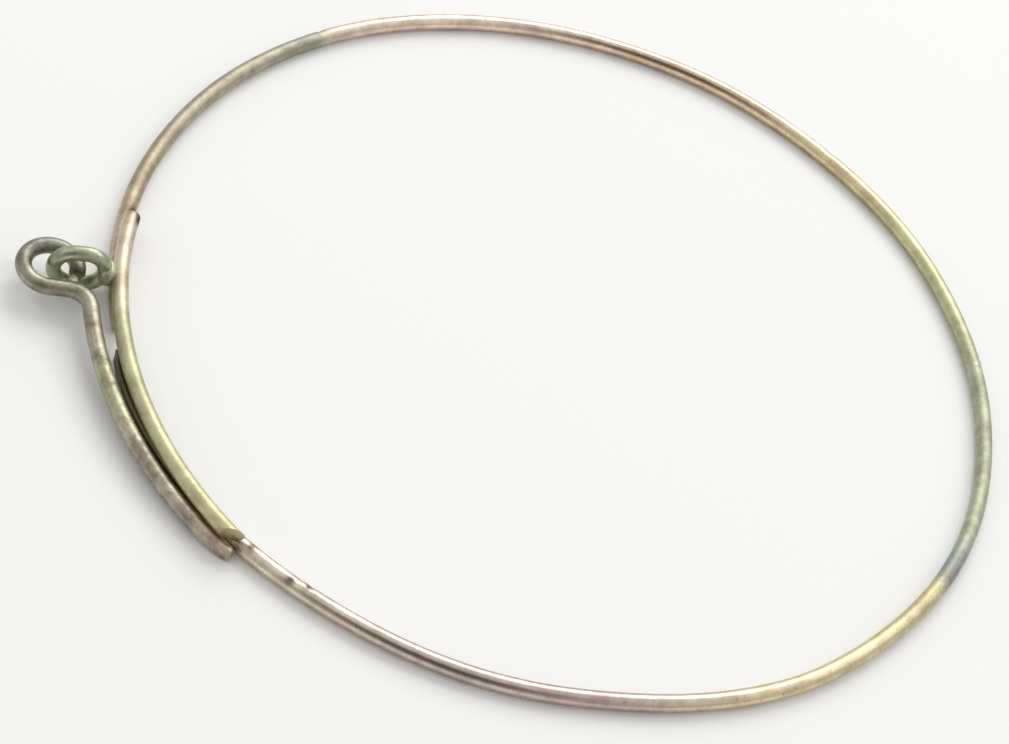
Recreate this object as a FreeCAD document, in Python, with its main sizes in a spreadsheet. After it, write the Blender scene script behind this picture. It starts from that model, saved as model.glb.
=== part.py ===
"""Wire bangle bracelet with a hinged wire latch.

One round wire makes the hoop. Its upper end carries an inner tongue, soldered on top of it, and a hinge
eye, soldered to the outer side. The latch is a second wire: an arm that follows the hoop on its outer side,
bent at one end into an eye that is chain-linked with the hinge eye. The hoop's free lower end runs on under
the tongue and inside the latch's arm.

Frame: millimetres, +Z up, the origin at the hoop's centre on the surface that the hoop lies on. Both eyes
are on -X. Angles are in degrees about +Z, from +X.
"""
import FreeCAD, Part
import math
import os

V = FreeCAD.Vector
UP = V(0, 0, 1)
EYE_ANGLE = 180.0
GAP_HALVINGS = 24

DIMENSIONS = {
    # hoop
    "hoop_inner_diameter": 65.0,
    "hoop_wire_diameter": 1.25,
    "hoop_upper_end_angle": 187.0,
    "hoop_tail_start_angle": 242.0,
    "hoop_tail_turn_angle": 223.0,
    "hoop_tail_end_angle": 190.0,
    "hoop_tail_bend_radius": 41.0,
    "hoop_tail_return_radius": 31.0,
    "hoop_scarf_length": 8.0,
    "hoop_scarf_end_thickness": 0.4,
    # inner tongue, lying on top of the hoop
    "tongue_wire_diameter": 1.2,
    "tongue_seat_gap": 0.02,
    "tongue_top_angle": 169.5,
    "tongue_middle_angle": 196.0,
    "tongue_end_angle": 222.0,
    "tongue_top_inset": 0.52,
    "tongue_middle_spread": 0.46,
    "tongue_end_spread": 1.18,
    "tongue_cut_angle": 52.0,
    # hinge eye, standing upright on the hoop's outer side
    "hinge_wire_diameter": 1.1,
    "hinge_eye_bend_radius": 1.5,
    "hinge_eye_straight": 0.6,
    "hinge_floor_gap": 0.03,
    "hinge_seat_gap": 0.02,
    # latch: the arm and its eye in one wire
    "latch_tip_diameter": 1.25,
    "latch_eye_wire_diameter": 1.2,
    "latch_eye_radius": 1.9,
    "latch_eye_sweep": 285.0,
    "latch_bend_radius": 1.7,
    "latch_arm_radius": 31.5,
    "latch_arm_centre_angle": 195.0,
    "latch_tip_angle": 222.2,
    "latch_tip_height": 0.7,
    "latch_tip_round": 0.45,
    "latch_side_gap": 0.06,
    "link_overlap": 1.72,
    "link_drop": 0.07,
    # solder
    "seam_solder_diameter": 0.55,
    "seam_solder_offset": 0.4,
    "top_solder_length": 1.2,
    "top_solder_width": 1.0,
    "top_solder_lift": 0.15,
    "hinge_solder_length": 1.5,
    "hinge_solder_width": 1.8,
    "latch_solder_length": 1.2,
    "latch_solder_width": 1.0,
}

doc = FreeCAD.newDocument("wire_bangle")
dims = doc.addObject("Spreadsheet::Sheet", "Dims")
for row, (alias, number) in enumerate(DIMENSIONS.items(), start=1):
    dims.set(f"A{row}", alias)
    dims.set(f"B{row}", str(number))
    dims.setAlias(f"B{row}", alias)
doc.recompute()


def dim(name):
    """A driving dimension, read from the sheet."""
    return float(dims.get(name))


def polar(radius, degrees, height=0.0):
    """A point at a radius and an angle about the hoop's centre."""
    angle = math.radians(degrees)
    return V(radius * math.cos(angle), radius * math.sin(angle), height)


def unit(vector):
    """A vector's direction."""
    return vector / vector.Length


def heading_of(vector):
    """A level vector's angle: about 180 for one that points to -X, and about 0 for one that points to +X."""
    if vector.x > 0:
        return math.degrees(math.atan2(vector.y, vector.x))
    return 180 + math.degrees(math.atan2(-vector.y, -vector.x))


def level_arc(centre, radius, start, end):
    """A level arc about a centre, from the start angle to the end angle, either way round."""
    angles = (start, (start + end) / 2, end)
    return Part.Arc(*[centre + polar(radius, angle) for angle in angles]).toShape()


def reach(edge, degrees):
    """How far an arc's circle lies from the hoop's centre, in the direction of an angle."""
    direction = polar(1, degrees)
    centre = V(edge.Curve.Center.x, edge.Curve.Center.y, 0)
    along = direction.dot(centre)
    return along + math.sqrt(edge.Curve.Radius ** 2 - centre.dot(centre) + along ** 2)


def path_object(name, edges, placement=FreeCAD.Placement()):
    """A wire's centre line, as an object that a sweep can follow."""
    path = doc.addObject("Part::Feature", name)
    path.Shape = Part.Wire(edges)
    path.Placement = placement
    return path


def section(name, diameter, path, at_end=False):
    """A round section, square to the start or the end of a path."""
    edge = path.Shape.Edges[-1 if at_end else 0]
    parameter = edge.LastParameter if at_end else edge.FirstParameter
    turn = FreeCAD.Rotation(UP, edge.tangentAt(parameter))
    circle = doc.addObject("Part::Circle", name)
    circle.setExpression("Radius", f"Dims.{diameter} / 2")
    circle.Placement = FreeCAD.Placement(edge.valueAt(parameter), turn)
    return circle


def sweep(name, path, sections):
    """A solid wire swept along its centre line."""
    wire = doc.addObject("Part::Sweep", name)
    wire.Sections = sections
    wire.Spine = (path, [f"Edge{number}" for number in range(1, len(path.Shape.Edges) + 1)])
    wire.Solid = True
    wire.Frenet = True
    doc.recompute()
    return wire


def cut(name, base, tool):
    """What is left of one object when another is taken away from it."""
    result = doc.addObject("Part::Cut", name)
    result.Base = base
    result.Tool = tool
    doc.recompute()
    return result


def cutting_block(name, point, away, side):
    """A block that fills one side of the upright plane through a point, the side that away points to."""
    block = doc.addObject("Part::Box", name)
    for edge in ("Length", "Width", "Height"):
        block.setExpression(edge, f"Dims.{side} * 3")
    doc.recompute()
    along = away.cross(UP)
    corner = point - along * (block.Length.Value / 2) - UP * (block.Height.Value / 2)
    block.Placement = FreeCAD.Placement(corner, FreeCAD.Rotation(along, away, UP))
    return block


def bead(name, at, heading, length, width):
    """A solder bead: an ellipsoid, long in the direction that heading points to."""
    blob = doc.addObject("Part::Ellipsoid", name)
    blob.setExpression("Radius2", f"Dims.{length} / 2")
    blob.setExpression("Radius1", f"Dims.{width} / 2")
    blob.setExpression("Radius3", f"Dims.{width} / 2")
    blob.Angle2 = 90
    blob.Placement = FreeCAD.Placement(at, FreeCAD.Rotation(UP, heading))
    return blob


# ---- hoop -------------------------------------------------------------------------------------------

hoop_radius = (dim("hoop_inner_diameter") + dim("hoop_wire_diameter")) / 2
hoop_height = dim("hoop_wire_diameter") / 2
tail_start = dim("hoop_tail_start_angle")
tail_radius = dim("hoop_tail_bend_radius")
tail_centre = polar(hoop_radius - tail_radius, tail_start, hoop_height)
tail_turn = (tail_start - dim("hoop_tail_turn_angle")) * hoop_radius / tail_radius
return_start = tail_start - tail_turn
return_radius = dim("hoop_tail_return_radius")
return_centre = tail_centre + polar(tail_radius - return_radius, return_start)
return_turn = (dim("hoop_tail_turn_angle") - dim("hoop_tail_end_angle")) * hoop_radius / return_radius
hoop_bend = level_arc(V(0, 0, hoop_height), hoop_radius, dim("hoop_upper_end_angle"), tail_start - 360)
tail_bend = level_arc(tail_centre, tail_radius, tail_start, return_start)
return_bend = level_arc(return_centre, return_radius, return_start, return_start - return_turn)


def make_hoop():
    """The hoop's wire, whose free lower end runs under the tongue and is filed on its outer side to a scarf."""
    path = path_object("hoop_path", [hoop_bend, tail_bend, return_bend])
    wire = sweep("hoop_full_wire", path, [section("hoop_section", "hoop_wire_diameter", path)])
    end = return_bend.valueAt(return_bend.LastParameter)
    along = unit(return_bend.tangentAt(return_bend.LastParameter))
    outward = unit(end - return_centre)
    half = dim("hoop_wire_diameter") / 2
    tip = end + outward * (dim("hoop_scarf_end_thickness") - half)
    shoulder = end - along * dim("hoop_scarf_length") + outward * half
    scarf_line = unit(tip - shoulder)
    away = scarf_line.cross(UP)
    if away.dot(outward) < 0:
        away = away * -1
    return cut("hoop_wire", wire, cutting_block("hoop_scarf_block", shoulder, away, "hoop_scarf_length"))


# ---- tongue -----------------------------------------------------------------------------------------

tongue_height = dim("hoop_wire_diameter") + dim("tongue_seat_gap") + dim("tongue_wire_diameter") / 2
tongue_radii = (
    ("top", hoop_radius - dim("tongue_top_inset")),
    ("middle", hoop_radius + dim("tongue_middle_spread")),
    ("end", hoop_radius + dim("tongue_end_spread")),
)
tongue_points = [polar(radius, dim(f"tongue_{place}_angle"), tongue_height) for place, radius in tongue_radii]
tongue_bend = Part.Arc(*tongue_points).toShape()


def make_tongue():
    """The inner tongue: one flat bend, with a slanted cut at its free end."""
    path = path_object("tongue_path", [tongue_bend])
    wire = sweep("tongue_full_wire", path, [section("tongue_section", "tongue_wire_diameter", path)])
    end = tongue_points[-1]
    along = unit(tongue_bend.tangentAt(tongue_bend.LastParameter))
    inward = unit(V(-end.x, -end.y, 0))
    inner_corner = end + inward * (dim("tongue_wire_diameter") / 2)
    away = FreeCAD.Rotation(UP, -dim("tongue_cut_angle")).multVec(along)
    block = cutting_block("tongue_cut_block", inner_corner, away, "tongue_wire_diameter")
    return cut("inner_tongue", wire, block)


# ---- eyes -------------------------------------------------------------------------------------------

hinge_half_length = dim("hinge_eye_bend_radius") + dim("hinge_eye_straight") / 2
hinge_seat = reach(tongue_bend, EYE_ANGLE) + dim("tongue_wire_diameter") / 2 + dim("hinge_seat_gap")
hinge_distance = hinge_seat + dim("hinge_wire_diameter") / 2 + hinge_half_length
hinge_height = dim("hinge_eye_bend_radius") + dim("hinge_wire_diameter") / 2 + dim("hinge_floor_gap")
latch_distance = hinge_distance + hinge_half_length - dim("link_overlap") + dim("latch_eye_radius")
latch_height = hinge_height - dim("link_drop")
latch_centre = polar(latch_distance, EYE_ANGLE, latch_height)


def make_hinge_eye():
    """The hinge eye: a closed oval of wire that stands upright, its long way across the hoop's wire."""
    radius = dim("hinge_eye_bend_radius")
    near = V(dim("hinge_eye_straight") / 2, 0, 0)
    rise = V(0, radius, 0)
    edges = [
        Part.LineSegment(near - rise, -near - rise).toShape(),
        level_arc(-near, radius, 270, 90),
        Part.LineSegment(rise - near, rise + near).toShape(),
        level_arc(near, radius, 90, -90),
    ]
    upright = FreeCAD.Placement(polar(hinge_distance, EYE_ANGLE, hinge_height), FreeCAD.Rotation(V(1, 0, 0), 90))
    path = path_object("hinge_path", edges, upright)
    return sweep("hinge_eye", path, [section("hinge_section", "hinge_wire_diameter", path)])


def latch_edges(tip_reach):
    """The latch's centre line, drawn flat about its eye's centre with the hoop's centre on +X, and placed."""
    eye_radius = dim("latch_eye_radius")
    bend_radius = dim("latch_bend_radius")
    arm_radius = dim("latch_arm_radius")
    hoop_centre = V(latch_distance, 0, 0)
    tip = hoop_centre + polar(tip_reach, dim("latch_tip_angle"))

    centre_line = polar(1, dim("latch_arm_centre_angle"))
    along = (tip - hoop_centre).dot(centre_line)
    offset = along - math.sqrt(arm_radius ** 2 - tip_reach ** 2 + along ** 2)
    arm_centre = hoop_centre + centre_line * offset
    bend_y = -(eye_radius + bend_radius)
    bend_x = arm_centre.x - math.sqrt((arm_radius + bend_radius) ** 2 - (bend_y - arm_centre.y) ** 2)
    bend_centre = V(bend_x, bend_y, 0)
    edges = [
        level_arc(arm_centre, arm_radius, heading_of(tip - arm_centre), heading_of(bend_centre - arm_centre)),
        level_arc(bend_centre, bend_radius, heading_of(arm_centre - bend_centre), 90),
        Part.LineSegment(V(bend_x, -eye_radius, 0), V(0, -eye_radius, 0)).toShape(),
        level_arc(V(0, 0, 0), eye_radius, 270, 270 - dim("latch_eye_sweep")),
    ]
    tilt = math.degrees(math.asin((latch_height - dim("latch_tip_height")) / tip.Length))
    return edges, FreeCAD.Placement(latch_centre, FreeCAD.Rotation(V(-tip.y, tip.x, 0), tilt))


def nearest_gap(edges, placement):
    """The gap between the latch's arm and the nearer of the hoop's tail and the tongue."""
    arm = edges[0].copy()
    arm.Placement = placement
    neighbours = (
        (Part.Wire([tail_bend, return_bend]), "hoop_wire_diameter"),
        (tongue_bend, "tongue_wire_diameter"),
    )
    return min(
        arm.distToShape(centre_line)[0] - (dim(width) + dim("latch_tip_diameter")) / 2
        for centre_line, width in neighbours
    )


def make_latch():
    """The latch: its arm is set out from the hoop until only the side gap is left at its nearest place."""
    half_widths = (dim("hoop_wire_diameter") + dim("latch_tip_diameter")) / 2
    near = reach(tail_bend, dim("latch_tip_angle")) + half_widths
    far = near + half_widths
    for step in range(GAP_HALVINGS):
        middle = (near + far) / 2
        if nearest_gap(*latch_edges(middle)) < dim("latch_side_gap"):
            near = middle
        else:
            far = middle
    edges, placement = latch_edges(far)
    path = path_object("latch_path", edges, placement)
    sections = [
        section("latch_tip_section", "latch_tip_diameter", path),
        section("latch_eye_section", "latch_eye_wire_diameter", path, at_end=True),
    ]
    wire = sweep("latch_full_wire", path, sections)
    tip_point = path.Shape.Edges[0].valueAt(path.Shape.Edges[0].FirstParameter)
    distances = [(edge.CenterOfMass - tip_point).Length for edge in wire.Shape.Edges]
    tip_edge = distances.index(min(distances)) + 1
    rounded = doc.addObject("Part::Fillet", "latch_arm")
    rounded.Base = wire
    rounded.Edges = [(tip_edge, dim("latch_tip_round"), dim("latch_tip_round"))]
    doc.recompute()
    return rounded, path


# ---- solder -----------------------------------------------------------------------------------------


def make_lap_solder(hoop, tongue):
    """The seam in the groove outside the tongue and the hoop, from the tongue's top to the hinge eye's bead."""
    radius = hoop_radius + dim("seam_solder_offset")
    bead_turn = math.degrees(dim("hinge_solder_length") / 2 / radius)
    centre = V(0, 0, dim("hoop_wire_diameter"))
    run = level_arc(centre, radius, dim("tongue_top_angle"), EYE_ANGLE - bead_turn)
    path = path_object("seam_path", [run])
    seam = sweep("seam_rod", path, [section("seam_section", "seam_solder_diameter", path)])
    return cut("tongue_lap_solder", cut("seam_over_hoop", seam, hoop), tongue)


def make_top_solder(hoop, tongue):
    """The bead that closes the tongue's upper end onto the hoop."""
    at = V(tongue_points[0].x, tongue_points[0].y, dim("hoop_wire_diameter") + dim("top_solder_lift"))
    heading = tongue_bend.tangentAt(tongue_bend.FirstParameter)
    blob = bead("top_bead", at, heading, "top_solder_length", "top_solder_width")
    return cut("tongue_top_solder", cut("top_bead_over_hoop", blob, hoop), tongue)


def make_hinge_solder(hoop, tongue, hinge):
    """The bead that holds the hinge eye against the outer side of the hoop and the tongue."""
    at = polar(hinge_seat, EYE_ANGLE, tongue_height)
    blob = bead("hinge_bead", at, V(0, 1, 0), "hinge_solder_length", "hinge_solder_width")
    trimmed = cut("hinge_bead_over_hoop", blob, hoop)
    trimmed = cut("hinge_bead_over_tongue", trimmed, tongue)
    return cut("hinge_eye_solder", trimmed, hinge)


def make_latch_solder(latch, path):
    """The bead that closes the latch's eye, between the wire's end and the bend beside it."""
    last = path.Shape.Edges[-1]
    wire_end = last.valueAt(last.LastParameter)
    bend = path.Shape.Edges[1]
    bend_end = bend.valueAt(bend.LastParameter)
    middle = (wire_end + bend_end) / 2
    blob = bead("latch_bead", middle, wire_end - bend_end, "latch_solder_length", "latch_solder_width")
    return cut("latch_eye_solder", blob, latch)


hoop = make_hoop()
tongue = make_tongue()
hinge = make_hinge_eye()
latch, latch_path = make_latch()
nodes = [
    hoop,
    tongue,
    hinge,
    make_lap_solder(hoop, tongue),
    make_top_solder(hoop, tongue),
    make_hinge_solder(hoop, tongue, hinge),
    latch,
    make_latch_solder(latch, latch_path),
]
doc.recompute()

for item in doc.Objects:
    if "Invalid" in item.State or "Error" in item.State:
        raise RuntimeError(f"{item.Label} did not recompute: {item.State}")
for node in nodes:
    if node.Shape.isNull() or not node.Shape.isValid():
        raise RuntimeError(f"{node.Label} has no valid shape")

os.makedirs("parts", exist_ok=True)
for node in nodes:
    node.Shape.exportStep(f"parts/{node.Label}.step")
    print(f"{node.Label}: {len(node.Shape.Solids)} solid, {node.Shape.Volume:.3f} mm3")
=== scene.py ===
import math

import bpy
from mathutils import Matrix, Vector, noise


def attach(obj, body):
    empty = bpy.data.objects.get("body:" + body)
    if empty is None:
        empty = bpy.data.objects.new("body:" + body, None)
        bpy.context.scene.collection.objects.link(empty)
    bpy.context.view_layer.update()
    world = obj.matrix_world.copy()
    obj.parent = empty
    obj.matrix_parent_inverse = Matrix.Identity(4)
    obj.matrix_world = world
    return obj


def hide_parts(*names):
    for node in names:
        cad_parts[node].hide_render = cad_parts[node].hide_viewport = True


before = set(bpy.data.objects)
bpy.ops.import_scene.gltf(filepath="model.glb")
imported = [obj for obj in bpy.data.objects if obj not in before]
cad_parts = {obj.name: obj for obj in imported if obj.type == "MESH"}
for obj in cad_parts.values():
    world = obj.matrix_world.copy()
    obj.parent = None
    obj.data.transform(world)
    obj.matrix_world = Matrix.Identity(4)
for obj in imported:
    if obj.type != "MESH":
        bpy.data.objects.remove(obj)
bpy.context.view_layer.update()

MM = 0.001
UP = Vector((0, 0, 1))

# How finely a wire is drawn: points round it, and in millimetres the sections' spacing and their least
# distance from a rounded end.
RING = 36
STEP = 0.22
CAP_MARGIN = 0.05
# Points nearer than this are one.
SAME_POINT = 0.02
# A wire's broad and fine unevenness, in waves per millimetre.
BROAD_WAVES = 0.55
FINE_WAVES = 3.1

# ---- sizes in millimetres, as in the CAD ------------------------------------------------------------
HOOP_RADIUS = 33.125
HOOP_HALF = 0.625
HOOP_UPPER_END = 187.0
TAIL_START = 242.0
TAIL_TURN = 223.0
TAIL_END = 190.0
TAIL_RADIUS = 41.0
TAIL_RETURN_RADIUS = 31.0
SCARF_LENGTH = 8.0
SCARF_END_THICKNESS = 0.4
TONGUE_HALF = 0.6
TONGUE_HEIGHT = 1.87
TONGUE_PLACES = ((32.605, 169.5), (33.585, 196.0), (34.305, 222.0))
TONGUE_CUT_ANGLE = 52.0
HINGE_HALF = 0.55
HINGE_RADIUS = 1.5
HINGE_STRAIGHT = 0.6
HINGE_CENTRE = Vector((-35.97947, 0, 2.08))
LATCH_EYE_CENTRE = Vector((-37.95947, 0, 2.01))
LATCH_EYE_HALF = 0.6
LATCH_TIP_HALF = 0.625
LATCH_EYE_RADIUS = 1.9
LATCH_EYE_SWEEP = 285.0
LATCH_BEND_RADIUS = 1.7
LATCH_ARM_RADIUS = 31.5
LATCH_ARM_CENTRE_ANGLE = 195.0
LATCH_TIP_ANGLE = 222.2
LATCH_TIP_HEIGHT = 0.7
# Left at the tip where the arm's nearest place keeps the latch's side gap.
LATCH_TIP_GAP = 0.1

# ---- sizes in millimetres of what is only drawn here ------------------------------------------------
SCARF_MARGIN = 1.5
TONGUE_CUT_LENGTH = 4.0
LATCH_TIP_TAPER = 3.2
LATCH_TIP_THICKNESS = 0.62
SEAM_START = 168.6
SEAM_END = 186.0
SEAM_HEIGHT = 1.24
SEAM_SPREAD = 0.08
SEAM_HALF = 0.5
SEAM_END_HALF = 0.16
TOP_BEAD_HALVES = (0.6, 0.5)
HINGE_BEAD_HALVES = (1.12, 0.84)
HINGE_BEAD_OUTSET = 0.3
HINGE_BEAD_LIFT = 0.02
LATCH_BEAD_HALVES = (0.6, 0.5)
# How the filing of the latch's tip fades along its taper, and how many points of the arm it is measured from.
LATCH_TIP_SWELL = 0.7
LATCH_TIP_POINTS = 20

# Slight bends that shaping by hand left in the hoop: angle, how far out, how wide in degrees.
HAND_BENDS = (
    (24, 0.10, 8),
    (60, 0.10, 9),
    (114, 0.09, 10),
    (150, -0.06, 12),
    (269, -0.22, 11),
    (294, 0.15, 9),
    (324, 0.08, 12),
    (347, -0.06, 8),
)
# Nicks in the hoop's wire: angle, side (0 outer, 90 top), depth, how wide in millimetres.
NICKS = (
    (120.0, 60, 0.07, 0.22),
    (229.6, 100, 0.08, 0.25),
    (231.2, 120, 0.06, 0.2),
    (41.0, 70, 0.05, 0.5),
)
NICK_HALF_TURN = 60


# ---- geometry ---------------------------------------------------------------------------------------
def polar(radius, degrees, height=0.0):
    """A point at a radius and an angle about the hoop's axis."""
    turn = math.radians(degrees)
    return Vector((radius * math.cos(turn), radius * math.sin(turn), height))


# Dark spots that the torch and old flux left, and painted shade in the crease under the tongue's cut end (the
# two spots near 222 degrees): place and size in millimetres.
BURN_AND_SHADE_SPOTS = (
    (polar(32.75, 167.6, 1.20), 0.55),
    (polar(32.20, 169.6, 2.15), 0.55),
    (polar(32.10, 171.0, 2.10), 0.40),
    # These two are painted shade under the tongue's slanted cut end and in the crease below it, not burn
    # marks.
    (polar(34.10, 221.6, 1.35), 0.42),
    (polar(33.45, 222.9, 1.35), 0.40),
    (polar(35.35, 188.6, 2.05), 0.40),
    (polar(33.45, 228.9, 1.10), 0.35),
    (polar(33.10, 231.0, 1.20), 0.28),
    (polar(39.60, 180.0, 2.20), 0.45),
)


def burn_and_shade_of(spot):
    """How dark a point is made by burn marks and painted shade, from 0 to 1."""
    return min(1.0, sum(math.exp(-((spot - where).length / size) ** 2) for where, size in BURN_AND_SHADE_SPOTS))


def arc(centre, radius, start, end):
    """Points along a level arc, about STEP apart, both ends included."""
    count = max(6, round(abs(math.radians(end - start)) * radius / STEP))
    return [centre + polar(radius, start + (end - start) * i / count) for i in range(count + 1)]


def straight(start, end):
    """Points along a straight line, about STEP apart, both ends included."""
    count = max(2, round((end - start).length / STEP))
    return [start.lerp(end, i / count) for i in range(count + 1)]


def joined(*runs):
    """Runs of points as one, without the doubled point where one starts on the other's end."""
    points = []
    for run in runs:
        if points and (points[-1] - run[0]).length < SAME_POINT:
            run = run[1:]
        points += run
    return points


def circle_through(a, b, c):
    """Centre and radius of the level circle through three points."""
    height = a.z
    a, b, c = (Vector((p.x, p.y, 0)) for p in (a, b, c))
    ab, ac = b - a, c - a
    cross = ab.cross(ac)
    offset = cross.cross(ab) * ac.length_squared + ac.cross(cross) * ab.length_squared
    offset /= 2 * cross.length_squared
    return a + offset + UP * height, offset.length


def reach(centre, radius, degrees):
    """How far a circle lies from the hoop's axis, in the direction of an angle."""
    direction = polar(1, degrees)
    flat = Vector((centre.x, centre.y, 0))
    along = direction.dot(flat)
    return along + math.sqrt(radius ** 2 - flat.dot(flat) + along ** 2)


def heading(vector):
    """A level vector's angle in degrees, which jumps at 270 and not at 180."""
    if vector.x > 0:
        return math.degrees(math.atan2(vector.y, vector.x))
    return 180 + math.degrees(math.atan2(-vector.y, -vector.x))


def wire_mesh(name, points, half, side, seed, closed=False, caps=(0.2, 0.2), worked=0.012, reshape=None):
    """A wire along a centre line, a little uneven as a drawn and hand-worked wire is.

    half is the radius at a share of the length; side is the direction of 0 degrees round the wire at its
    start; caps are how far each end's edge is rounded; reshape moves single points.
    """
    count = len(points)
    if closed:
        points = points[:-1]
        count -= 1
    tangents = []
    for i in range(count):
        before = points[i - 1] if closed or i else points[0]
        after = points[(i + 1) % count] if closed or i < count - 1 else points[-1]
        tangents.append((after - before).normalized())
    run = [0.0]
    for i in range(1, count):
        run.append(run[-1] + (points[i] - points[i - 1]).length)
    length = run[-1]
    stations = [(points[i], tangents[i], run[i], 1.0) for i in range(count)]
    if not closed:
        between = [s for s in stations if caps[0] + CAP_MARGIN < s[2] < length - caps[1] - CAP_MARGIN]
        stations = rounded_end(points[0], tangents[0], 0.0, caps[0], half(0.0), -1) + between + (
            rounded_end(points[-1], tangents[-1], length, caps[1], half(1.0), 1))
    verts, turns = [], []
    across = side.normalized()
    for point, tangent, place, shrink in stations:
        across = (across - tangent * across.dot(tangent)).normalized()
        upward = tangent.cross(across)
        radius = half(min(1.0, max(0.0, place / length)))
        for k in range(RING):
            angle = 2 * math.pi * k / RING
            outward = across * math.cos(angle) + upward * math.sin(angle)
            spot = point + outward * radius
            uneven = noise.fractal(spot * BROAD_WAVES + Vector((seed, 0, 0)), 1.0, 2.0, 3)
            fine = noise.noise(spot * FINE_WAVES + Vector((0, seed, 0)))
            reach_out = radius * shrink - worked * (0.55 + 0.45 * uneven) - worked * 0.25 * (0.5 + 0.5 * fine)
            spot = point + outward * reach_out
            if reshape:
                spot = reshape(spot, place, angle, outward)
            verts.append(spot)
            turns.append(math.degrees(math.atan2(spot.y, spot.x)) % 360 / 360)
    return mesh_object(name, *wire_faces(verts, turns, len(stations), closed))


def wire_faces(verts, turns, rows, closed):
    """The points, faces and turns of a wire whose rings are given, with a hub that closes each open end."""
    faces = []
    for i in range(rows if closed else rows - 1):
        for k in range(RING):
            a, b = i * RING + k, i * RING + (k + 1) % RING
            c, d = ((i + 1) % rows) * RING + (k + 1) % RING, ((i + 1) % rows) * RING + k
            faces.append((a, b, c, d))
    if not closed:
        for row, order in ((0, -1), (rows - 1, 1)):
            ring = list(range(row * RING, (row + 1) * RING))
            hub = len(verts)
            verts.append(sum((verts[i] for i in ring), Vector()) / RING)
            turns.append(turns[ring[0]])
            for k in range(RING):
                pair = (ring[k], ring[(k + 1) % RING])
                faces.append((hub, *pair) if order == 1 else (hub, pair[1], pair[0]))
    return verts, faces, turns


def rounded_end(point, tangent, place, depth, radius, sign):
    """Stations that round a wire's end: the outermost is small, the innermost is full."""
    stations = []
    for share in (0.0, 0.12, 0.3, 0.5, 0.72, 1.0):
        lift = math.sqrt(max(0.0, 1 - (1 - share) ** 2))
        back = depth * share
        edge = (radius - depth + depth * lift) / radius
        stations.append((point - tangent * (sign * back), tangent, place - sign * back, edge))
    return stations if sign < 0 else stations[::-1]


def mesh_object(name, verts, faces, turns):
    """A piece in the scene, whose points carry their angle round the hoop and how much burn marks and painted
    shade darken them.
    """
    mesh = bpy.data.meshes.new(name)
    mesh.from_pydata([v * MM for v in verts], [], faces)
    mesh.validate()
    attribute = mesh.attributes.new("turn", "FLOAT", "POINT")
    attribute.data.foreach_set("value", turns)
    attribute = mesh.attributes.new("burnt_and_shaded", "FLOAT", "POINT")
    attribute.data.foreach_set("value", [burn_and_shade_of(v) for v in verts])
    mesh.shade_smooth()
    made = bpy.data.objects.new(name, mesh)
    bpy.context.scene.collection.objects.link(made)
    return made


def blob_mesh(name, at, along, half_length, half_width, seed, lumpy=0.16):
    """Solder that has run and set: a soft, uneven lump."""
    along = along.normalized()
    across = along.cross(UP).normalized()
    upward = across.cross(along)
    rows, columns = 30, 44
    verts = [at + along * half_length]
    for i in range(1, rows):
        tilt = math.pi * i / rows
        for k in range(columns):
            turn = 2 * math.pi * k / columns
            flat = math.sin(tilt)
            direction = Vector((math.cos(tilt), flat * math.cos(turn), flat * math.sin(turn)))
            rough = noise.fractal(direction * 1.7 + Vector((seed, seed, 0)), 1.0, 2.0, 3)
            swell = 1 - lumpy * (0.5 + 0.5 * rough)
            verts.append(at + (along * (direction.x * half_length) + across * (direction.y * half_width)
                               + upward * (direction.z * half_width)) * swell)
    verts.append(at - along * half_length)
    last = len(verts) - 1
    faces = [(0, 1 + k, 1 + (k + 1) % columns) for k in range(columns)]
    for i in range(rows - 2):
        for k in range(columns):
            a, b = 1 + i * columns + k, 1 + i * columns + (k + 1) % columns
            faces.append((a, a + columns, b + columns, b))
    first_of_last = 1 + (rows - 2) * columns
    faces += [(last, first_of_last + (k + 1) % columns, first_of_last + k) for k in range(columns)]
    turns = [math.degrees(math.atan2(v.y, v.x)) % 360 / 360 for v in verts]
    return mesh_object(name, verts, faces, turns)


# ---- hoop -------------------------------------------------------------------------------------------
tail_centre = polar(HOOP_RADIUS - TAIL_RADIUS, TAIL_START, HOOP_HALF)
return_start = TAIL_START - (TAIL_START - TAIL_TURN) * HOOP_RADIUS / TAIL_RADIUS
return_end = return_start - (TAIL_TURN - TAIL_END) * HOOP_RADIUS / TAIL_RETURN_RADIUS
return_centre = tail_centre + polar(TAIL_RADIUS - TAIL_RETURN_RADIUS, return_start)
tail_run = joined(
    arc(tail_centre, TAIL_RADIUS, TAIL_START, return_start),
    arc(return_centre, TAIL_RETURN_RADIUS, return_start, return_end),
)
hoop_run = arc(Vector((0, 0, HOOP_HALF)), HOOP_RADIUS, HOOP_UPPER_END, TAIL_START - 360)
for spot in hoop_run:
    angle = math.degrees(math.atan2(spot.y, spot.x)) % 360
    out = sum(size * math.exp(-((angle - where) / wide) ** 2) for where, size, wide in HAND_BENDS)
    spot.x *= 1 + out / HOOP_RADIUS
    spot.y *= 1 + out / HOOP_RADIUS
tail_end = tail_run[-1]
tail_along = (tail_run[-1] - tail_run[-2]).normalized()
tail_out = (tail_end - return_centre).normalized()
scarf_tip = tail_end + tail_out * (SCARF_END_THICKNESS - HOOP_HALF)
scarf_shoulder = tail_end - tail_along * SCARF_LENGTH + tail_out * HOOP_HALF
scarf_away = (scarf_tip - scarf_shoulder).cross(UP).normalized()
if scarf_away.dot(tail_out) < 0:
    scarf_away.negate()


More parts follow.
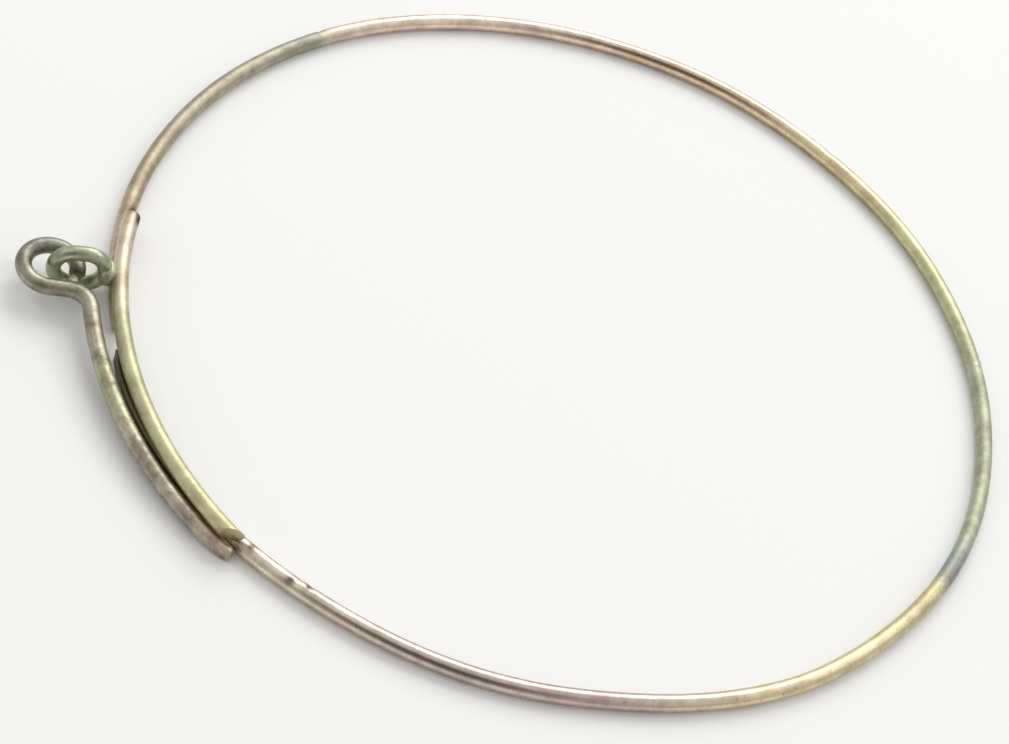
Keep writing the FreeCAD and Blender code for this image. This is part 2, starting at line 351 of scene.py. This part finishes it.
def hoop_shape(spot, place, angle, outward):
    """The free end is filed to a scarf on its outer side, and the wire is nicked here and there."""
    over = (spot - scarf_shoulder).dot(scarf_away)
    near_tail = (spot - tail_end).length < SCARF_LENGTH + SCARF_MARGIN
    if over > 0 and near_tail:
        spot = spot - scarf_away * over
    turn = math.degrees(math.atan2(spot.y, spot.x)) % 360
    for where, side, depth, wide in NICKS:
        away = (turn - where) * math.radians(1) * HOOP_RADIUS
        facing = math.degrees(angle) - side
        if abs(away) < 4 * wide and abs(facing) < NICK_HALF_TURN:
            fade = math.cos(math.radians(facing * 90 / NICK_HALF_TURN))
            spot = spot - outward * (depth * math.exp(-(away / wide) ** 2) * fade)
    return spot


hoop = wire_mesh("hoop_round_wire", joined(hoop_run, tail_run), lambda share: HOOP_HALF,
                 polar(1, HOOP_UPPER_END), 3.0, caps=(0.25, 0.1), reshape=hoop_shape)

# ---- tongue -----------------------------------------------------------------------------------------
tongue_points = [polar(radius, turn, TONGUE_HEIGHT) for radius, turn in TONGUE_PLACES]
tongue_centre, tongue_radius = circle_through(*tongue_points)
tongue_turns = [heading(p - tongue_centre) for p in (tongue_points[0], tongue_points[2])]
tongue_run = arc(tongue_centre, tongue_radius, *tongue_turns)
cut_along = (tongue_run[-1] - tongue_run[-2]).normalized()
cut_corner = tongue_points[2] - polar(TONGUE_HALF, TONGUE_PLACES[2][1])
cut_away = Matrix.Rotation(-math.radians(TONGUE_CUT_ANGLE), 3, UP) @ cut_along


def tongue_shape(spot, place, angle, outward):
    """The tongue's lower end is cut off slantwise."""
    over = (spot - cut_corner).dot(cut_away)
    if over > 0 and (spot - tongue_points[2]).length < TONGUE_CUT_LENGTH:
        spot = spot - cut_along * (over / cut_along.dot(cut_away))
    return spot


tongue = wire_mesh("tongue_round_wire", tongue_run, lambda share: TONGUE_HALF,
                   polar(1, TONGUE_PLACES[0][1]), 11.0, caps=(0.3, 0.04), reshape=tongue_shape)

# ---- hinge eye --------------------------------------------------------------------------------------
tilt_up = Matrix.Rotation(math.radians(90), 3, "X")
near = Vector((HINGE_STRAIGHT / 2, 0, 0))
rise = Vector((0, HINGE_RADIUS, 0))
hinge_flat = joined(
    straight(near - rise, -near - rise),
    arc(-near, HINGE_RADIUS, 270, 90),
    straight(rise - near, rise + near),
    arc(near, HINGE_RADIUS, 90, -90),
)
hinge_run = [HINGE_CENTRE + tilt_up @ p for p in hinge_flat]
hinge = wire_mesh("hinge_oval_eye", hinge_run, lambda share: HINGE_HALF, -UP, 21.0, closed=True, worked=0.02)

# ---- latch ------------------------------------------------------------------------------------------
latch_distance = -LATCH_EYE_CENTRE.x
hoop_centre = Vector((latch_distance, 0, 0))
tip_reach = reach(tail_centre, TAIL_RADIUS, LATCH_TIP_ANGLE) + HOOP_HALF + LATCH_TIP_HALF + LATCH_TIP_GAP
tip = hoop_centre + polar(tip_reach, LATCH_TIP_ANGLE)
line = polar(1, LATCH_ARM_CENTRE_ANGLE)
along = (tip - hoop_centre).dot(line)
arm_centre = hoop_centre + line * (along - math.sqrt(LATCH_ARM_RADIUS ** 2 - tip_reach ** 2 + along ** 2))
bend_y = -(LATCH_EYE_RADIUS + LATCH_BEND_RADIUS)
bend_x = arm_centre.x - math.sqrt((LATCH_ARM_RADIUS + LATCH_BEND_RADIUS) ** 2 - (bend_y - arm_centre.y) ** 2)
bend_centre = Vector((bend_x, bend_y, 0))
latch_flat = joined(
    arc(arm_centre, LATCH_ARM_RADIUS, heading(tip - arm_centre), heading(bend_centre - arm_centre)),
    arc(bend_centre, LATCH_BEND_RADIUS, heading(arm_centre - bend_centre), 90),
    straight(Vector((bend_x, -LATCH_EYE_RADIUS, 0)), Vector((0, -LATCH_EYE_RADIUS, 0))),
    arc(Vector(), LATCH_EYE_RADIUS, 270, 270 - LATCH_EYE_SWEEP),
)
latch_drop = math.asin((LATCH_EYE_CENTRE.z - LATCH_TIP_HEIGHT) / tip.length)
latch_tilt = Matrix.Rotation(latch_drop, 3, Vector((-tip.y, tip.x, 0)))
latch_run = [LATCH_EYE_CENTRE + latch_tilt @ p for p in latch_flat]
tip_outward = polar(1, LATCH_TIP_ANGLE)


def latch_shape(spot, place, angle, outward):
    """The tip is filed on its outer side, so that it thins towards the hoop."""
    if place > LATCH_TIP_TAPER:
        return spot
    share = max(0.0, place) / LATCH_TIP_TAPER
    filed_off = 2 * LATCH_TIP_HALF - LATCH_TIP_THICKNESS
    limit = LATCH_TIP_THICKNESS - LATCH_TIP_HALF + filed_off * share ** LATCH_TIP_SWELL
    nearest = min(latch_run[:LATCH_TIP_POINTS], key=lambda p: (p - spot).length)
    over = (spot - nearest).dot(tip_outward) - limit
    return spot - tip_outward * over if over > 0 else spot


latch = wire_mesh("latch_arm_and_eye", latch_run,
                  lambda share: LATCH_TIP_HALF + (LATCH_EYE_HALF - LATCH_TIP_HALF) * share,
                  polar(1, LATCH_TIP_ANGLE), 31.0, caps=(0.45, 0.15), worked=0.016, reshape=latch_shape)

# ---- solder -----------------------------------------------------------------------------------------
def seam_half(share):
    """The seam swells quickly from its upper end and tapers off towards the hinge eye's bead."""
    return SEAM_END_HALF + (SEAM_HALF - SEAM_END_HALF) * min(1, 9 * share, 5 * (1 - share))


seam_run = arc(UP * SEAM_HEIGHT, HOOP_RADIUS + SEAM_SPREAD, SEAM_START, SEAM_END)
seam = wire_mesh("tongue_seam_solder", seam_run, seam_half, polar(1, SEAM_START), 41.0, caps=(0.12, 0.12),
                 worked=0.05)

tongue_start = polar(*TONGUE_PLACES[0], 2 * HOOP_HALF)
tongue_heading = polar(1, TONGUE_PLACES[0][1] - 90)
top_solder = blob_mesh("tongue_end_solder", tongue_start, tongue_heading, *TOP_BEAD_HALVES, 51.0)

hinge_seat = HINGE_CENTRE.x + HINGE_RADIUS + HINGE_STRAIGHT / 2 + HINGE_HALF
hinge_bead_centre = Vector((hinge_seat - HINGE_BEAD_OUTSET, 0, TONGUE_HEIGHT + HINGE_BEAD_LIFT))
hinge_solder = blob_mesh("hinge_seat_solder", hinge_bead_centre, Vector((0, 1, 0)), *HINGE_BEAD_HALVES, 61.0,
                         lumpy=0.1)

eye_end = latch_run[-1]
bend_point = LATCH_EYE_CENTRE + latch_tilt @ Vector((bend_x, -LATCH_EYE_RADIUS, 0))
latch_solder = blob_mesh("latch_eye_closing_solder", (eye_end + bend_point) / 2, eye_end - bend_point,
                         *LATCH_BEAD_HALVES, 71.0)


# ---- materials --------------------------------------------------------------------------------------
BLACK = (0, 0, 0)
# The colour of burn marks, also used as painted shade under the tongue's cut end.
CHARRED_AND_SHADE = (0.07, 0.035, 0.03)
SCRATCH_DEPTH = 0.04 * MM


def attribute_of(tree, name):
    """A value that the mesh carries at its points."""
    made = tree.nodes.new("ShaderNodeAttribute")
    made.attribute_name = name
    return made.outputs["Fac"]


def noise_of(tree, **inputs):
    """A noise in the object's own space."""
    place = tree.nodes.new("ShaderNodeTexCoord")
    made = tree.nodes.new("ShaderNodeTexNoise")
    for key, value in inputs.items():
        made.inputs[key].default_value = value
    tree.links.new(place.outputs["Object"], made.inputs["Vector"])
    return made.outputs["Fac"]


def ramp_of(tree, source, stops):
    """A source from 0 to 1, turned into colours."""
    made = tree.nodes.new("ShaderNodeValToRGB")
    elements = made.color_ramp.elements
    while len(elements) < len(stops):
        elements.new(0.5)
    for element, (place, colour) in zip(elements, sorted(stops)):
        element.position = place
        element.color = (*colour, 1.0)
    tree.links.new(source, made.inputs["Fac"])
    return made.outputs["Color"]


def mixed(tree, share, base, colour):
    """A base with a plain colour over it, by a share from 0 to 1."""
    made = tree.nodes.new("ShaderNodeMix")
    made.data_type = "RGBA"
    made.inputs[7].default_value = (*colour, 1.0)
    tree.links.new(share, made.inputs[0])
    tree.links.new(base, made.inputs[6])
    return made.outputs[2]


def silver(name, stops, stain, stain_amount=0.5, roughness=0.19, bump=0.25, metallic=0.97, dull=None):
    """Tarnished silver whose tint changes with the angle round the hoop, with stains, scratches and pits."""
    material = bpy.data.materials.new(name)
    material.use_nodes = True
    tree = material.node_tree
    shader = tree.nodes["Principled BSDF"]
    turn = attribute_of(tree, "turn")
    blotch = noise_of(tree, Scale=520.0, Detail=8.0, Roughness=0.74)
    speck = noise_of(tree, Scale=3800.0, Detail=3.0, Roughness=0.7)
    scratch = noise_of(tree, Scale=2600.0, Detail=4.0, Roughness=0.75)

    stained = ramp_of(tree, blotch, ((0.40, BLACK), (0.62, (stain_amount,) * 3)))
    specks = ramp_of(tree, speck, ((0.63, BLACK), (0.70, (0.55, 0.55, 0.55))))
    colour = mixed(tree, stained, ramp_of(tree, turn, stops), stain)
    colour = mixed(tree, specks, colour, (stain[0] * 0.5, stain[1] * 0.45, stain[2] * 0.4))
    # Burn marks, and the painted shade under the tongue's cut end, darken the colour towards charred brown.
    colour = mixed(tree, attribute_of(tree, "burnt_and_shaded"), colour, CHARRED_AND_SHADE)
    tree.links.new(colour, shader.inputs["Base Color"])

    sheen = tree.nodes.new("ShaderNodeMapRange")
    sheen.inputs["To Min"].default_value = roughness - 0.06
    sheen.inputs["To Max"].default_value = roughness + 0.2
    tree.links.new(blotch, sheen.inputs["Value"])
    finish = sheen.outputs["Result"]
    if dull:
        duller = tree.nodes.new("ShaderNodeMath")
        duller.operation = "ADD"
        tree.links.new(finish, duller.inputs[0])
        tree.links.new(ramp_of(tree, turn, [(stop, (level,) * 3) for stop, level in dull]), duller.inputs[1])
        finish = duller.outputs["Value"]
    tree.links.new(finish, shader.inputs["Roughness"])
    shader.inputs["Metallic"].default_value = metallic

    relief = tree.nodes.new("ShaderNodeBump")
    relief.inputs["Strength"].default_value = bump
    relief.inputs["Distance"].default_value = SCRATCH_DEPTH
    tree.links.new(scratch, relief.inputs["Height"])
    tree.links.new(relief.outputs["Normal"], shader.inputs["Normal"])
    return material


BROWN = (0.20, 0.12, 0.09)
hoop_silver = silver("hoop_tarnished_silver", (
    (0.00, (0.58, 0.60, 0.42)),
    (0.05, (0.66, 0.65, 0.38)),
    (0.10, (0.86, 0.76, 0.46)),
    (0.19, (0.88, 0.68, 0.50)),
    (0.26, (0.92, 0.76, 0.62)),
    (0.331, (0.82, 0.70, 0.56)),
    (0.335, (0.47, 0.50, 0.40)),
    (0.37, (0.52, 0.49, 0.38)),
    (0.44, (0.50, 0.44, 0.32)),
    (0.50, (0.72, 0.64, 0.47)),
    (0.522, (0.60, 0.54, 0.40)),
    # From 0.528 to 0.575 the tail between the tongue and the latch arm is dark olive: tarnish, and painted
    # shade of the narrow gap there.
    (0.528, (0.10, 0.09, 0.05)),
    (0.575, (0.13, 0.11, 0.06)),
    (0.603, (0.55, 0.47, 0.32)),
    (0.62, (0.90, 0.80, 0.62)),
    (0.68, (0.72, 0.62, 0.54)),
    (0.74, (0.66, 0.54, 0.48)),
    (0.80, (0.84, 0.74, 0.50)),
    (0.885, (0.70, 0.62, 0.38)),
    (0.897, (0.36, 0.40, 0.40)),
    (0.92, (0.56, 0.60, 0.44)),
), BROWN, 0.4, dull=(
    (0.00, 0.30),
    (0.07, 0.16),
    (0.14, 0.0),
    (0.29, 0.06),
    (0.335, 0.26),
    (0.47, 0.26),
    (0.62, 0.04),
    (0.76, 0.02),
    (0.84, 0.22),
    (0.90, 0.34),
))
tongue_silver = silver("tongue_tarnished_silver", (
    (0.46, (0.74, 0.63, 0.47)),
    (0.490, (0.80, 0.70, 0.56)),
    (0.515, (0.78, 0.67, 0.52)),
    (0.521, (0.62, 0.63, 0.42)),
    (0.57, (0.68, 0.66, 0.42)),
    (0.62, (0.72, 0.67, 0.40)),
), (0.34, 0.27, 0.16), 0.5, 0.42)
eye_silver = silver("hinge_eye_green_silver", (
    (0.0, (0.54, 0.58, 0.40)),
    (1.0, (0.56, 0.60, 0.42)),
), (0.15, 0.18, 0.10), 0.6, 0.32)
latch_silver = silver("latch_brown_silver", (
    (0.495, (0.38, 0.39, 0.32)),
    (0.508, (0.46, 0.45, 0.35)),
    (0.525, (0.56, 0.51, 0.40)),
    (0.545, (0.58, 0.57, 0.38)),
    (0.575, (0.58, 0.53, 0.41)),
    (0.60, (0.54, 0.47, 0.38)),
    (0.618, (0.74, 0.62, 0.46)),
), (0.13, 0.09, 0.07), 0.7, 0.38)
solder_grey = silver("tarnished_solder", (
    (0.492, (0.72, 0.62, 0.48)),
    (0.498, (0.52, 0.55, 0.39)),
), (0.13, 0.08, 0.06), 0.6, 0.40, 0.5, 0.94)

for piece, node, body, material, record_slot in (
    (hoop, "hoop_wire", "bangle", hoop_silver, "hoop_silver"),
    (tongue, "inner_tongue", "bangle", tongue_silver, "tongue_silver"),
    (hinge, "hinge_eye", "bangle", eye_silver, "eye_silver"),
    (seam, "tongue_lap_solder", "bangle", solder_grey, "solder"),
    (top_solder, "tongue_top_solder", "bangle", solder_grey, "solder"),
    (hinge_solder, "hinge_eye_solder", "bangle", solder_grey, "solder"),
    (latch, "latch_arm", "latch", latch_silver, "latch_silver"),
    (latch_solder, "latch_eye_solder", "latch", solder_grey, "solder"),
):
    piece.data.materials.append(material)
    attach(piece, body)
    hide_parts(node)

# ---- floor, light and camera ------------------------------------------------------------------------
FLOOR_HALF = 1.5
FLOOR_COLOUR = (0.955, 0.955, 0.94, 1.0)
FLOOR_GLOW = (1.0, 1.0, 0.985, 1.0)
FLOOR_GLOW_STRENGTH = 0.06
# Which way the photographer stands, who darkens that side of the room.
PHOTOGRAPHER = (-0.28, -0.72, 0.63)
ROOM_DARK = (0.07, 0.06, 0.05)
ROOM_STRENGTH = 0.78


def white_paper():
    """White paper that keeps its shadows and only looks a little brighter to the camera."""
    material = bpy.data.materials.new("white_paper")
    material.use_nodes = True
    tree = material.node_tree
    link = tree.links.new
    shader = tree.nodes["Principled BSDF"]
    shader.inputs["Base Color"].default_value = FLOOR_COLOUR
    shader.inputs["Roughness"].default_value = 0.9
    shader.inputs["Specular IOR Level"].default_value = 0.0
    glow = tree.nodes.new("ShaderNodeEmission")
    glow.inputs["Color"].default_value = FLOOR_GLOW
    glow.inputs["Strength"].default_value = FLOOR_GLOW_STRENGTH
    lifted = tree.nodes.new("ShaderNodeAddShader")
    link(shader.outputs["BSDF"], lifted.inputs[0])
    link(glow.outputs["Emission"], lifted.inputs[1])
    seen = tree.nodes.new("ShaderNodeMixShader")
    link(tree.nodes.new("ShaderNodeLightPath").outputs["Is Camera Ray"], seen.inputs[0])
    link(shader.outputs["BSDF"], seen.inputs[1])
    link(lifted.outputs["Shader"], seen.inputs[2])
    link(seen.outputs["Shader"], tree.nodes["Material Output"].inputs["Surface"])
    return material


def paper_floor():
    """The sheet that the bangle lies on."""
    corners = [(x * FLOOR_HALF, y * FLOOR_HALF, 0) for x, y in ((-1, -1), (1, -1), (1, 1), (-1, 1))]
    mesh = bpy.data.meshes.new("floor")
    mesh.from_pydata(corners, [], [(0, 1, 2, 3)])
    mesh.materials.append(white_paper())
    floor = bpy.data.objects.new("floor", mesh)
    bpy.context.scene.collection.objects.link(floor)


def studio_world():
    """A white room, greyer near the floor and dark round the photographer."""
    world = bpy.data.worlds.new("studio")
    bpy.context.scene.world = world
    world.use_nodes = True
    tree = world.node_tree
    link = tree.links.new
    background = tree.nodes["Background"]
    background.inputs["Strength"].default_value = ROOM_STRENGTH
    place = tree.nodes.new("ShaderNodeTexCoord")
    apart = tree.nodes.new("ShaderNodeSeparateXYZ")
    link(place.outputs["Generated"], apart.inputs["Vector"])
    sky = ramp_of(tree, apart.outputs["Z"], (
        (0.0, (0.45, 0.45, 0.44)),
        (0.10, (0.40, 0.39, 0.36)),
        (0.30, (0.90, 0.90, 0.89)),
        (1.0, (1.0, 1.0, 1.0)),
    ))
    facing = tree.nodes.new("ShaderNodeVectorMath")
    facing.operation = "DOT_PRODUCT"
    facing.inputs[1].default_value = PHOTOGRAPHER
    link(place.outputs["Generated"], facing.inputs[0])
    shade = tree.nodes.new("ShaderNodeMapRange")
    shade.interpolation_type = "SMOOTHSTEP"
    shade.inputs["From Min"].default_value = 0.80
    shade.inputs["From Max"].default_value = 0.97
    link(facing.outputs["Value"], shade.inputs["Value"])
    link(mixed(tree, shade.outputs["Result"], sky, ROOM_DARK), background.inputs["Color"])


def soft_light(name, at, power, size):
    """A round lamp that faces the bangle."""
    lamp = bpy.data.lights.new(name, "AREA")
    lamp.shape = "DISK"
    lamp.size = size
    lamp.energy = power
    made = bpy.data.objects.new(name, lamp)
    made.location = at
    made.rotation_euler = (-Vector(at)).to_track_quat("-Z", "Y").to_euler()
    bpy.context.scene.collection.objects.link(made)


paper_floor()
studio_world()
soft_light("back_panel", (0.28, 0.64, 0.66), 3.5, 0.74)
soft_light("right_softbox", (0.60, 0.12, 0.52), 0.50, 0.20)

# The camera: which way it looks, how far off it stands in millimetres, and what it aims at, to the right of
# and above the hoop's centre.
VIEW_TURN = 68.1494
VIEW_DROP = 46.1563
VIEW_ROLL = 21.419
VIEW_DISTANCE = 200.0
VIEW_AIM = (-4.375, -3.159)
SENSOR_WIDTH = 36.0
LENS_LENGTH = 96.37

drop = math.radians(VIEW_DROP)
forward = polar(math.cos(drop), VIEW_TURN, -math.sin(drop))
level_right = forward.cross(UP).normalized()
level_up = level_right.cross(forward)
roll = math.radians(VIEW_ROLL)
right = level_right * math.cos(roll) + level_up * math.sin(roll)
top = level_up * math.cos(roll) - level_right * math.sin(roll)
stand = (forward * -VIEW_DISTANCE + right * VIEW_AIM[0] + top * VIEW_AIM[1] + UP * HOOP_HALF) * MM
lens = bpy.data.cameras.new("photo_angle")
lens.sensor_width = SENSOR_WIDTH
lens.sensor_fit = "HORIZONTAL"
lens.lens = LENS_LENGTH
lens.clip_start = 0.005
lens.clip_end = 10.0
camera = bpy.data.objects.new("photo_angle", lens)
axes = Matrix((right, top, -forward)).transposed().to_4x4()
axes.translation = stand
camera.matrix_world = axes
bpy.context.scene.collection.objects.link(camera)
bpy.context.scene.camera = camera
bpy.context.scene.view_settings.view_transform = "Standard"
